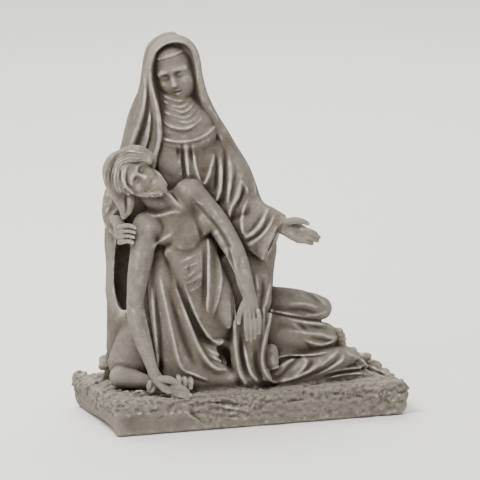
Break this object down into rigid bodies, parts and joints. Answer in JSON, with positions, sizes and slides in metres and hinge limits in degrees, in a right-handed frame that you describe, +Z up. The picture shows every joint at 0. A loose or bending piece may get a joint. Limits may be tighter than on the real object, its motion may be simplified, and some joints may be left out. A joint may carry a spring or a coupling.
{
  "type": "religious statue",
  "caption": "Cast-stone pieta statue: a seated, veiled mother holds a reclining bearded man across her lap, one hand held out, on a rough oblong plinth",
  "frame": {"origin": "middle of the plinth's flat underside, on the surface that the statue stands on", "axes": "+Z up, +X along the plinth's long front towards the open hand, +Y from the front to the back"},
  "size_m": [0.398, 0.184, 0.5],
  "materials": {
    "cast_stone": "matte, grey-beige stone with darker washed recesses and light rubbed edges"
  },
  "bodies": {
    "root": {"pieta_statue": "cast_stone"}
  },
  "joints": []
}
